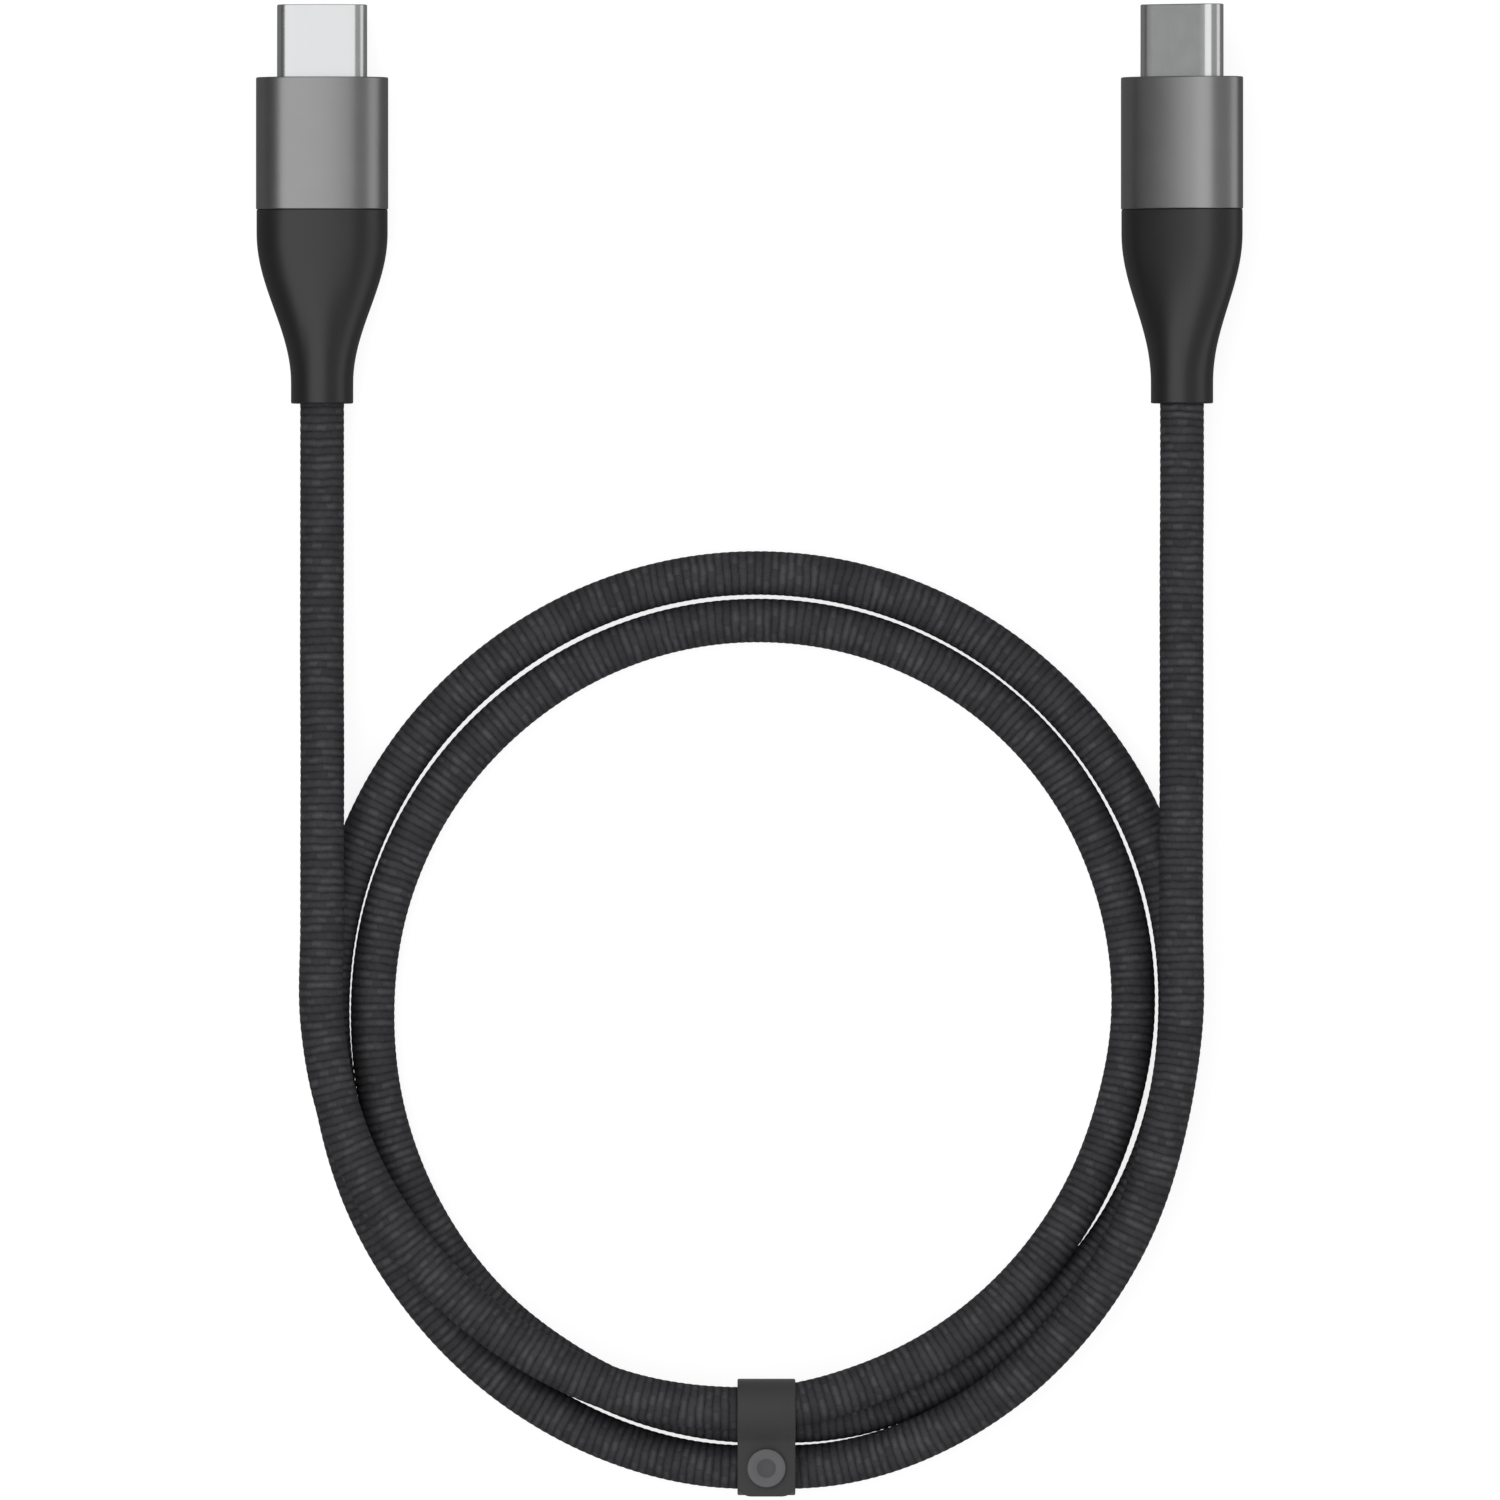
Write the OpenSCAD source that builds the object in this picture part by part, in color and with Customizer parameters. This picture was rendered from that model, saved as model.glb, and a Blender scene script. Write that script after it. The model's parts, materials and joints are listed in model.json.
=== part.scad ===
// Woven charging cable with two flat reversible plugs, coiled and held by a snap strap.
// Millimetres, +Z up. The origin is under the middle of the cable, on the table.
// A plug's own frame has +Y out through its tip, +Z out of its top face, and Y = 0 at its sleeve's front.

/* [Plug shell] */
// Width of the steel plug shell, outside
shell_w = 8.25; // [8:0.05:8.5]
// Height of the steel plug shell, outside
shell_h = 2.4; // [2.3:0.05:2.5]
// Wall of the plug shell
shell_wall = 0.3; // [0.25:0.05:0.35]
// Length of shell that stands out of the sleeve
shell_out = 6.65; // [6.2:0.05:8]
// Length of shell hidden behind the sleeve's front face
shell_in = 3; // [2.6:0.1:3.4]

/* [Contact block] */
// Width of the slot that takes the socket's tongue
slot_w = 6.9; // [6.8:0.05:7]
// Height of the tongue slot
slot_h = 1; // [0.9:0.05:1.05]
// Depth of the tongue slot
slot_depth = 5.6; // [5.4:0.1:5.8]
// How far the contact block sits back from the shell's mouth
block_recess = 0.35; // [0.2:0.05:0.5]
// How far the contact block reaches behind the sleeve's front face
block_back = 1; // [0.9:0.1:1.2]
// Length of the two wafers behind the contact block
wafer_len = 2.6; // [2.4:0.1:3]
// Width of the wafers
wafer_w = 7.2; // [7.2:0.05:7.4]
// Spacing of the contacts
contact_pitch = 0.5; // [0.45:0.01:0.52]
// Width of one contact
contact_w = 0.26; // [0.2:0.01:0.3]
// Thickness of the contact strip
contact_t = 0.12; // [0.1:0.01:0.14]
// Thickness of the latch plate between the wafers
latch_t = 0.15; // [0.12:0.01:0.2]
// Width of a latch arm
latch_arm_w = 0.2; // [0.15:0.01:0.22]
// How far a latch hook stands into the tongue slot
latch_hook = 0.25; // [0.15:0.01:0.35]
// Thickness of the two ground spring strips
spring_t = 0.1; // [0.08:0.01:0.12]

/* [Circuit board] */
// Width of the circuit board
board_w = 8; // [7.4:0.1:8.2]
// Length of the circuit board
board_len = 4.8; // [4.4:0.1:5.8]
// Thickness of the circuit board
board_t = 0.8; // [0.6:0.1:0.9]
// Side of the square marker chip
chip_w = 1.6; // [1.2:0.1:1.8]
// Height of the marker chip
chip_h = 0.6; // [0.4:0.1:0.8]
// Room behind the board where the wires fan out
wire_room = 1.3; // [1.2:0.1:1.6]

/* [Shield can] */
// Width of the shield can, outside
can_w = 8.8; // [8.7:0.1:9]
// Height of the shield can, outside
can_h = 3.4; // [3.2:0.1:3.6]
// Wall of the shield can
can_wall = 0.2; // [0.15:0.01:0.22]

/* [Sleeve] */
// Width of the aluminium sleeve
sleeve_w = 12.1; // [11.8:0.1:14.6]
// Thickness of the aluminium sleeve
sleeve_h = 6.2; // [5.9:0.1:7.5]
// Length of the aluminium sleeve
sleeve_len = 12.1; // [12:0.1:14.6]
// Wall of the sleeve
sleeve_wall = 0.6; // [0.4:0.05:0.72]
// Thickness of the sleeve's front wall
sleeve_front = 0.8; // [0.6:0.05:1]

/* [Strain relief] */
// Length of the strain relief behind the sleeve
relief_len = 17.75; // [14.8:0.05:21.5]
// Step from the sleeve's side down to the strain relief
relief_step = 0.05; // [0.05:0.05:0.3]
// Diameter of the strain relief's round neck
neck_d = 5.7; // [5.2:0.1:6]
// Length of the wide, straight start
relief_shoulder = 2.2; // [1.8:0.1:2.8]
// Length of the tapering part
relief_taper = 13.7; // [9:0.1:14]
// Length of the spigot inside the sleeve
relief_spigot = 0.5; // [0.4:0.1:0.8]
// How far the woven cord reaches from the spigot's end into the strain relief
cord_stop = 2; // [1.6:0.1:3]

/* [Cord] */
// Diameter of the woven cord
cord_d = 4; // [3.3:0.05:4.2]
// Thickness of the weave over the jacket
weave_t = 0.4; // [0.3:0.05:0.45]
// Thickness of the shield braid, folded back over the jacket's end
braid_t = 0.15; // [0.1:0.01:0.2]
// Wall of the crimp ring
crimp_t = 0.33; // [0.25:0.01:0.4]
// Diameter of the power and ground wires
power_wire_d = 0.9; // [0.7:0.05:0.95]
// Diameter of the signal wires
signal_wire_d = 0.6; // [0.4:0.05:0.65]

/* [Strap] */
// Width of the strap
strap_w = 5.3; // [4.4:0.1:6.4]
// Thickness of the strap
strap_t = 0.5; // [0.4:0.05:0.6]
// Gap between the strap and the cord
strap_gap = 0.1; // [0.05:0.05:0.15]
// Radius of the strap's inner bottom bend, to the middle of its thickness
strap_bend_r = 1.75; // [1.2:0.05:2]
// Angle at which the flap comes down from the top strand
flap_slope = 60; // [50:1:62]
// Radius of the bend where the flap turns flat again
flap_bend_r = 1.3; // [1:0.1:1.4]
// Corner radius of the flap's free end
flap_corner_r = 1.2; // [0.6:0.1:1.6]
// Gap between band and flap at the hinge line
hinge_gap = 0.1; // [0.05:0.05:0.2]

/* [Press stud] */
// Diameter of the round cap on the flap
cap_d = 3.5; // [3:0.1:3.6]
// Thickness of the cap
cap_t = 0.45; // [0.35:0.05:0.6]
// Depth of the dish in the cap
cap_dish = 0.12; // [0.05:0.01:0.2]
// Height of the closed press stud between band and flap
snap_h = 0.85; // [0.75:0.05:1]
// Diameter of the stud's head
stud_d = 1.6; // [1.4:0.1:1.7]
// Gap around the stud in its socket
stud_gap = 0.2; // [0.15:0.05:0.25]
// Diameter of the pins through the strap
pin_d = 0.9; // [0.7:0.05:1]
// Thickness of the flange under the band
flange_t = 0.25; // [0.2:0.05:0.3]

/* [Lay] */
// Distance of plug A's axis from the middle
plug_a_x = -39.15; // [-45:0.05:-30]
// Distance of plug B's axis from the middle
plug_b_x = 39.5; // [30:0.05:45]
// Roll of plug B about its long axis
plug_b_roll = -28; // [-35:1:0]
// Place of the sleeves' front faces along the cable
plug_y = 61.55; // [60:0.05:66]

/* [Hidden] */
$fn = 48;
eps = 0.01;
snug = 0.02;        // clearance of a pressed curved fit
free_gap = 0.05;    // clearance of a loose curved fit

// Rows of contacts: the lower one has none at its two middle places
contacts_per_row = 12;
upper_places = [for (i = [0 : contacts_per_row - 1]) i];
lower_places = [for (i = upper_places) if (abs(i - (contacts_per_row - 1) / 2) > 1) i];

// Stations of a plug along its own Y axis
block_front_y = shell_out - block_recess;
block_back_y = -block_back;
wafer_back_y = block_back_y - wafer_len;
board_back_y = wafer_back_y - board_len;
can_front_y = -2 * sleeve_front;
can_back_y = board_back_y - wire_room - can_wall;
mold_back_y = relief_spigot - sleeve_len;
cord_stop_y = mold_back_y - cord_stop;
relief_back_y = -sleeve_len - relief_len;
jacket_d = cord_d - 2 * weave_t;
braid_d = jacket_d + 2 * braid_t;
crimp_d = braid_d + 2 * snug + 2 * crimp_t;
jacket_front_y = can_back_y - 0.6;
braid_front_y = can_back_y - 0.2;
braid_back_y = mold_back_y - 0.3;

// Contact block and contacts
block_w = shell_w - 2 * shell_wall - 2 * snug;
block_h = shell_h - 2 * shell_wall;
groove_gap = 0.04;
blade_z = slot_h / 2 + contact_t;
groove_top_z = blade_z + contact_t + 0.06;
bump_z = slot_h / 2 - 0.14;
bump_y = shell_out - 2.3;
blade_tip_y = bump_y + 0.55;
tail_len = 1.7;
spring_y = blade_tip_y + 0.25;
spring_len = 0.9;
spring_w = 6;
finger_w = 0.7;
finger_z = slot_h / 2 - 0.1;
finger_x = [-2.4, -0.8, 0.8, 2.4];
arm_x = slot_w / 2 + 0.02;
hook_y = shell_out - 1.9;
hook_len = 0.5;

// Parts on the board
chip_place = [2.4, wafer_back_y - 2.7];
capacitor_size = [0.3, 0.6, 0.3];
capacitor_places = [for (x = [-2.6, -1.9, -1.2, -0.5, 0.2]) [x, wafer_back_y - 2.6]];
pad_len = 1;
power_x = 2.4;
data_x = 0.95;
wire_ring_r = jacket_d / 2 - power_wire_d / 2 - free_gap;

// Sleeve and strain relief
sleeve_in_w = sleeve_w - 2 * sleeve_wall;
sleeve_in_h = sleeve_h - 2 * sleeve_wall;
relief_w = sleeve_w - 2 * relief_step;
relief_h = sleeve_h - 2 * relief_step;
relief_rings = 18;
relief_sides = 40;

// Resting heights: plug A lies flat, plug B leans on one rounded side
plug_a_z = sleeve_h / 2;
plug_b_z = sleeve_h / 2 + (sleeve_w - sleeve_h) / 2 * abs(sin(plug_b_roll));

// Strands inside the strap, as [Y, Z] of their axes
cord_r = cord_d / 2;
strand_z = strap_t + strap_gap + cord_r;
strand_outer = [-65.6, strand_z];
strand_middle = [-61.4, strand_z];
strand_top = [-60.15, strand_z + cord_d - 0.1];

// Strap: middle of its thickness
strap_x = 1.5;
strap_side_gap = 0.3;
wrap_r = cord_r + strap_gap + strap_t / 2;
wall_in_y = strand_top.x + wrap_r;
wall_out_y = strand_outer.x - wrap_r;
strap_end_y = wall_out_y - strap_t / 2;
band_end_z = strand_z + cord_r + strap_gap + flange_t + strap_t / 2;
band_bend_r = 0.8;
bend_step = 7.5;
snap_y = strand_outer.x;
band_end_y = snap_y + cap_d / 2;
tab_z = band_end_z + strap_t + snap_h;
hinge_z = strand_top.y;
hinge_y = wall_in_y + strap_t / 2 + 0.05;
slope_top = strand_top + wrap_r * [cos(90 + flap_slope), sin(90 + flap_slope)];
slope_foot_z = tab_z + flap_bend_r * (1 - cos(flap_slope));
slope_foot_y = slope_top.x - (slope_top.y - slope_foot_z) / tan(flap_slope);
tab_bend = [slope_foot_y - flap_bend_r * sin(flap_slope), tab_z + flap_bend_r];

// Press stud levels
tab_under_z = tab_z - strap_t / 2;
tab_top_z = tab_z + strap_t / 2;
band_top_z = band_end_z + strap_t / 2;
band_under_z = band_end_z - strap_t / 2;
socket_lift = 0.1;
socket_roof = 0.15;
socket_bore_d = stud_d + 2 * stud_gap;
socket_d = socket_bore_d + 1.2;
flange_d = 3;
stud_head_h = 0.35;
stud_neck_d = stud_d - 0.2;
stud_h = snap_h - socket_roof - 0.1;
pin_sink = 0.4;

// Coil: a low ring of two turns side by side, and a second layer on its lower half
coil_centre = [0.2, -24.8];
coil_in_r = 35;
coil_out_r = 40.3;
layer_in_r = 36;
layer_out_r = 40.2;
coil_z = cord_r;
layer_z = coil_z + cord_d + 0.1;

// Routes of the two leads as [X, Y, Z]: straight through the strain relief, then to the coil's second layer
lead_a_free = [
    [-39.15, 24, 3.2], [-39.15, 16, 3.6], [-39.15, 8, 4.2], [-39.1, 0, 4.9],
    [-39.1, -8, 5.6], [-39.1, -16, 6.05], [-39.1, -24.8, 6.1]
];
lead_b_free = [
    [39.5, 24, 4.6], [39.45, 16, 4.8], [39.45, 8, 5.1], [39.45, 0, 5.4],
    [39.4, -8, 5.8], [39.4, -16, 6.1], [39.4, -24.8, 6.1]
];
lead_sides = 12;
lead_a_route = concat(straight_exit(plug_a_x, plug_a_z), lead_a_free);
lead_b_route = concat(straight_exit(plug_b_x, plug_b_z), lead_b_free);

steel = [0.75, 0.76, 0.77];
gunmetal = [0.36, 0.36, 0.37];
charcoal = [0.17, 0.17, 0.18];
gold = [0.85, 0.68, 0.32];
black_resin = [0.1, 0.1, 0.11];

// ---- shared shapes ----

// Slot-shaped outline: a rectangle with half-round ends
module stadium(w, h) {
    square([w - h, h], center = true);
    for (side = [-1, 1]) translate([side * (w - h) / 2, 0]) circle(d = h);
}

// Extrudes an outline drawn in X and Z along Y, from y0 to y1
module along_y(y0, y1) {
    translate([0, y1, 0]) rotate([90, 0, 0]) linear_extrude(y1 - y0) children();
}

// Round bar along Y, from y0 to y1
module rod_y(d, y0, y1) {
    translate([0, y1, 0]) rotate([90, 0, 0]) cylinder(d = d, h = y1 - y0);
}

// Box centred on X, between two Y and two Z values
module block(w, y0, y1, z0, z1) {
    translate([-w / 2, y0, z0]) cube([w, y1 - y0, z1 - z0]);
}

// Extrudes an outline drawn in Y and Z along X, centred on X
module across_x(w) {
    translate([-w / 2, 0, 0]) rotate([90, 0, 90]) linear_extrude(w) children();
}

// Repeats a shape at the places of a contact row
module contact_row(places) {
    for (i = places) translate([(i - (contacts_per_row - 1) / 2) * contact_pitch, 0, 0]) children();
}

// Turns a plug's upper part into its lower twin
module underside() {
    mirror([0, 0, 1]) children();
}

// Points of a cord inside a plug's strain relief, from where it stops to where it comes out
function straight_exit(x, z) =
    [for (y = [cord_stop_y, (cord_stop_y + relief_back_y) / 2, relief_back_y]) [x, plug_y + y, z]];

function unit(v) = v / norm(v);
function heading(path, i) =
    unit(path[min(i + 1, len(path) - 1)] - path[max(i - 1, 0)]);
function tube_ring(path, i, r, sides) =
    let (t = heading(path, i), across = unit(cross([0, 0, 1], t)), up = cross(t, across))
    [for (k = [0 : sides - 1]) path[i] + r * (cos(360 * k / sides) * across + sin(360 * k / sides) * up)];
function skin(rings, sides) = concat(
    [[for (k = [0 : sides - 1]) k]],
    [for (i = [0 : rings - 2], k = [0 : sides - 1])
        let (n = (k + 1) % sides, a = i * sides)
        [a + k, a + sides + k, a + sides + n, a + n]],
    [[for (k = [0 : sides - 1]) rings * sides - 1 - k]]
);

// Round tube with flat ends, swept along the points of a path
module tube(path, d, sides) {
    points = [for (i = [0 : len(path) - 1]) each tube_ring(path, i, d / 2, sides)];
    polyhedron(points, skin(len(path), sides), convexity = 6);
}

// ---- plug: metal shell and contact block ----

module shell() color(steel)
    along_y(-shell_in, shell_out) difference() {
        stadium(shell_w, shell_h);
        stadium(shell_w - 2 * shell_wall, shell_h - 2 * shell_wall);
    }

module contact_block() color(black_resin)
    difference() {
        along_y(block_back_y, block_front_y) stadium(block_w, block_h);
        along_y(block_front_y - slot_depth, block_front_y + eps) stadium(slot_w, slot_h);
        contact_row(upper_places) contact_groove();
        underside() contact_row(lower_places) contact_groove();
        for (side = [-1, 1]) translate([side * (arm_x + latch_arm_w / 2), 0, 0])
            block(latch_arm_w + 0.1, block_back_y - eps, hook_y + hook_len + 0.3, -latch_t, latch_t);
        spring_seat();
        underside() spring_seat();
    }

module contact_groove()
    block(contact_w + 2 * groove_gap, block_back_y - eps, blade_tip_y + 0.1, slot_h / 2 - eps, groove_top_z);

module spring_seat() {
    block(spring_w, spring_y, spring_y + spring_len, block_h / 2 - spring_t, block_h / 2 + eps);
    for (x = finger_x) translate([x, 0, 0])
        block(finger_w + 0.1, spring_y + 0.05, spring_y + spring_len, 0, block_h / 2);
}

module wafer() color([0.16, 0.16, 0.17])
    difference() {
        intersection() {
            along_y(wafer_back_y, block_back_y) stadium(wafer_w, block_h);
            block(wafer_w, wafer_back_y, block_back_y, latch_t / 2, block_h);
        }
        contact_row(upper_places)
            block(contact_w, wafer_back_y - eps, block_back_y + eps, blade_z, blade_z + contact_t);
    }

module upper_wafer() wafer();
module lower_wafer() underside() wafer();

// One stamped contact: solder tail, blade, and a spring bump that meets the socket's tongue
module contact() {
    tail_z = board_t / 2;
    lower_edge = [
        [wafer_back_y - tail_len, tail_z], [wafer_back_y - 0.5, tail_z], [wafer_back_y - 0.1, blade_z],
        [bump_y - 1, blade_z], [bump_y - 0.1, bump_z], [bump_y + 0.1, bump_z], [blade_tip_y, blade_z - 0.1]
    ];
    upper_edge = [for (i = [len(lower_edge) - 1 : -1 : 0]) lower_edge[i] + [0, contact_t]];
    across_x(contact_w) polygon(concat(lower_edge, upper_edge));
}

module upper_contacts() color(gold) contact_row(upper_places) contact();
module lower_contacts() color(gold) underside() contact_row(lower_places) contact();

// Plate between the wafers, with a spring arm and a hook on each side of the slot
module latch_plate() color(steel) {
    plate_front_y = wafer_back_y + wafer_len - 0.4;
    arm_edge = [
        [arm_x, plate_front_y], [arm_x, hook_y], [arm_x - latch_hook, hook_y + 0.2],
        [arm_x - latch_hook, hook_y + 0.35], [arm_x, hook_y + hook_len],
        [arm_x + latch_arm_w, hook_y + hook_len], [arm_x + latch_arm_w, wafer_back_y]
    ];
    other_edge = [for (i = [len(arm_edge) - 1 : -1 : 0]) [-arm_edge[i].x, arm_edge[i].y]];
    translate([0, 0, -latch_t / 2]) linear_extrude(latch_t) polygon(concat(arm_edge, other_edge));
}

module ground_spring() {
    top_z = block_h / 2;
    root_y = spring_y + spring_len;
    block(spring_w, spring_y, root_y, top_z - spring_t, top_z);
    for (x = finger_x) translate([x, 0, 0]) across_x(finger_w) polygon([
        [root_y, top_z - spring_t / 2], [root_y - 0.3, finger_z], [root_y - 0.6, finger_z],
        [root_y - 0.6, finger_z + spring_t], [root_y - 0.35, finger_z + spring_t],
        [root_y - 0.15, top_z - spring_t / 2]
    ]);
}

module ground_springs() color(steel) {
    ground_spring();
    underside() ground_spring();
}

// ---- plug: electronics ----

module circuit_board() color([0.06, 0.3, 0.16])
    block(board_w, board_back_y, wafer_back_y, -board_t / 2, board_t / 2);

module marker_chip() color(black_resin)
    translate([chip_place.x, chip_place.y, 0])
        block(chip_w, -chip_w / 2, chip_w / 2, board_t / 2, board_t / 2 + chip_h);

module capacitors() color([0.6, 0.5, 0.38])
    for (place = capacitor_places) translate([place.x, place.y, 0])
        block(capacitor_size.x, -capacitor_size.y / 2, capacitor_size.y / 2,
              board_t / 2, board_t / 2 + capacitor_size.z);

// Half of the shield can, open at the board's plane, at the shell and at the wires
module half_can() color([0.7, 0.7, 0.68])
    difference() {
        block(can_w, can_back_y, can_front_y, 0, can_h / 2);
        block(can_w - 2 * can_wall, can_back_y + can_wall, can_front_y - can_wall, -eps,
            can_h / 2 - can_wall);
        along_y(can_front_y - can_wall - eps, can_front_y + eps)
            stadium(shell_w + 2 * snug, shell_h + 2 * snug);
        rod_y(jacket_d, can_back_y - eps, can_back_y + can_wall + eps);
    }

module upper_can() half_can();
module lower_can() underside() half_can();

// ---- plug: cable end ----

module crimp_ring() color([0.72, 0.66, 0.5])
    along_y(mold_back_y, can_back_y) difference() {
        circle(d = crimp_d);
        circle(d = braid_d + 2 * snug);
    }

module cable_jacket() color([0.2, 0.2, 0.21])
    rod_y(jacket_d, cord_stop_y, jacket_front_y);

module cable_braid() color([0.66, 0.64, 0.6])
    along_y(braid_back_y, braid_front_y) difference() {
        circle(d = braid_d);
        circle(d = jacket_d);
    }

// One wire: out of the jacket at an angle round its middle, and down to its solder pad
module wire(d, angle, pad_x) {
    start = [wire_ring_r * cos(angle), jacket_front_y, wire_ring_r * sin(angle)];
    pad_z = board_t / 2 + d / 2;
    tube([
        start,
        [start.x, can_back_y + can_wall, start.z],
        [pad_x, board_back_y - 0.1, pad_z],
        [pad_x, board_back_y + pad_len, pad_z]
    ], d, 8);
}

module power_wire() color([0.75, 0.1, 0.08]) wire(power_wire_d, 150, -power_x);
module ground_wire() color([0.05, 0.05, 0.05]) wire(power_wire_d, 30, power_x);
module control_wire() color([0.1, 0.25, 0.75]) wire(signal_wire_d, 90, 0);
module green_data_wire() color([0.1, 0.55, 0.2]) wire(signal_wire_d, 240, -data_x);
module white_data_wire() color([0.9, 0.9, 0.88]) wire(signal_wire_d, 300, data_x);

// ---- plug: outside ----

module inner_mold() color([0.8, 0.78, 0.72])
    difference() {
        along_y(mold_back_y, -sleeve_front) stadium(sleeve_in_w - 2 * snug, sleeve_in_h);
        along_y(can_front_y - eps, -sleeve_front + eps) stadium(shell_w + 2 * snug, shell_h + 2 * snug);
        block(can_w, can_back_y, can_front_y, -can_h / 2, can_h / 2);
        rod_y(crimp_d + 2 * snug, mold_back_y - eps, can_back_y + eps);
    }

module sleeve() color(gunmetal)
    difference() {
        along_y(-sleeve_len, 0) stadium(sleeve_w, sleeve_h);
        along_y(-sleeve_len - eps, -sleeve_front) stadium(sleeve_in_w, sleeve_in_h);
        along_y(-sleeve_front - eps, eps) stadium(shell_w + 2 * snug, shell_h + 2 * snug);
    }

// Share of the taper that is done at a distance s behind the sleeve, from 0 to 1
function taper(s) =
    let (t = min(max((s - relief_shoulder) / relief_taper, 0), 1))
    (1 - cos(180 * t)) / 2;
function relief_ring(s) =
    let (a = relief_w / 2 + (neck_d - relief_w) / 2 * taper(s),
         b = relief_h / 2 + (neck_d - relief_h) / 2 * taper(s))
    [for (k = [0 : relief_sides - 1])
        let (angle = 360 * (k + 0.5) / relief_sides)
        [sign(cos(angle)) * (a - b) + b * cos(angle), -sleeve_len - s, b * sin(angle)]];

module strain_relief() color(charcoal)
    difference() {
        union() {
            polyhedron(
                [for (i = [0 : relief_rings - 1]) each relief_ring(relief_len * i / (relief_rings - 1))],
                skin(relief_rings, relief_sides), convexity = 4);
            along_y(-sleeve_len - eps, mold_back_y) stadium(sleeve_in_w - 2 * snug, sleeve_in_h);
        }
        rod_y(cord_d + 2 * free_gap, relief_back_y - eps, cord_stop_y);
        rod_y(braid_d + 4 * free_gap, cord_stop_y - eps, mold_back_y + eps);
    }

module in_plug_a() translate([plug_a_x, plug_y, plug_a_z]) children();
module in_plug_b() translate([plug_b_x, plug_y, plug_b_z]) rotate([0, plug_b_roll, 0]) children();

// ---- strap and press stud ----

// One edge of a bend of the strap, side 1 on the left of its way and -1 on the right.
// A bend is its centre [Y, Z], the radius to the strap's middle line, and its first and last angle.
// Radius 0 is an end of the strap, cut square.
function bend_edge(bend, side) =
    let (centre = bend[0], from = bend[2], turn = bend[3] - from, way = turn < 0 ? -1 : 1,
         steps = max(ceil(abs(turn) / bend_step), 1), r = bend[1] - side * way * strap_t / 2)
    [for (i = [0 : steps]) if (turn != 0 || i == 0)
        let (a = from + turn * i / steps) centre + r * [cos(a), sin(a)]];

// Extrudes the strap's section, which runs straight from each bend to the next
module strap_section(bends) {
    left = [for (bend = bends) each bend_edge(bend, 1)];
    right = [for (bend = bends) each bend_edge(bend, -1)];
    across_x(strap_w) polygon(concat(left, [for (i = [len(right) - 1 : -1 : 0]) right[i]]));
}

module pin_hole() translate([0, snap_y, 0]) cylinder(d = pin_d, h = 20);

module strap_band() color([0.25, 0.25, 0.26])
    translate([strap_x, 0, 0]) difference() {
        strap_section([
            [[band_end_y, band_end_z], 0, 90, 90],
            [[wall_out_y + band_bend_r, band_end_z - band_bend_r], band_bend_r, 90, 180],
            [strand_outer, wrap_r, 180, 270],
            [[wall_in_y - strap_bend_r, strap_t / 2 + strap_bend_r], strap_bend_r, 270, 360],
            [[wall_in_y, hinge_z - hinge_gap / 2], 0, 0, 0]
        ]);
        pin_hole();
    }

module strap_flap() color([0.25, 0.25, 0.26])
    translate([strap_x, 0, 0]) difference() {
        strap_section([
            [strand_top, wrap_r, asin(hinge_gap / wrap_r), 90 + flap_slope],
            [tab_bend, flap_bend_r, 270 + flap_slope, 270],
            [[strap_end_y, tab_z], 0, 90, 90]
        ]);
        pin_hole();
        for (side = [0, 1]) mirror([side, 0, 0]) flap_corner_cut();
    }

// What is cut away to round one corner of the flap's free end
module flap_corner_cut()
    translate([strap_w / 2 - flap_corner_r, strap_end_y + flap_corner_r, 0]) difference() {
        translate([0, -flap_corner_r - 1, tab_under_z - eps])
            cube([flap_corner_r + 1, flap_corner_r + 1, strap_t + 2 * eps]);
        cylinder(r = flap_corner_r, h = 20);
    }

module at_snap(z) translate([strap_x, snap_y, z]) children();

module snap_cap() color([0.36, 0.36, 0.37])
    at_snap(tab_under_z - socket_roof) {
        cylinder(d = pin_d, h = socket_roof + strap_t + eps);
        translate([0, 0, socket_roof + strap_t]) rotate_extrude() difference() {
            square([cap_d / 2, cap_t]);
            translate([0, cap_t - cap_dish]) square([cap_d / 4, cap_dish + eps]);
        }
    }

module snap_socket() color([0.3, 0.3, 0.31])
    at_snap(band_top_z + socket_lift) difference() {
        height = tab_under_z - band_top_z - socket_lift;
        cylinder(d = socket_d, h = height);
        translate([0, 0, -eps]) cylinder(d = socket_bore_d, h = height - socket_roof + eps);
        cylinder(d = pin_d, h = height + eps);
    }

module snap_stud() color([0.3, 0.3, 0.31])
    at_snap(band_top_z) difference() {
        union() {
            cylinder(d = stud_neck_d, h = stud_h);
            translate([0, 0, stud_h - stud_head_h]) cylinder(d = stud_d, h = stud_head_h);
        }
        translate([0, 0, -eps]) cylinder(d = pin_d, h = pin_sink + eps);
    }

module snap_post() color([0.3, 0.3, 0.31])
    at_snap(band_under_z - flange_t) {
        cylinder(d = flange_d, h = flange_t);
        cylinder(d = pin_d, h = flange_t + strap_t + pin_sink);
    }

// ---- cord ----

module coil_low_2d() {
    translate([coil_in_r, coil_z]) circle(r = cord_r);
    translate([coil_out_r, coil_z]) circle(r = cord_r);
    translate([coil_in_r, coil_z - cord_r]) square([coil_out_r - coil_in_r, cord_d]);
}

module coil_high_2d() {
    coil_low_2d();
    translate([layer_in_r, layer_z]) circle(r = cord_r);
    translate([layer_out_r, layer_z]) circle(r = cord_r);
    translate([layer_in_r, coil_z]) square([layer_out_r - layer_in_r, layer_z - coil_z + cord_r]);
    translate([layer_in_r - 1, coil_z]) square([2, layer_z - coil_z]);
}

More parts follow.
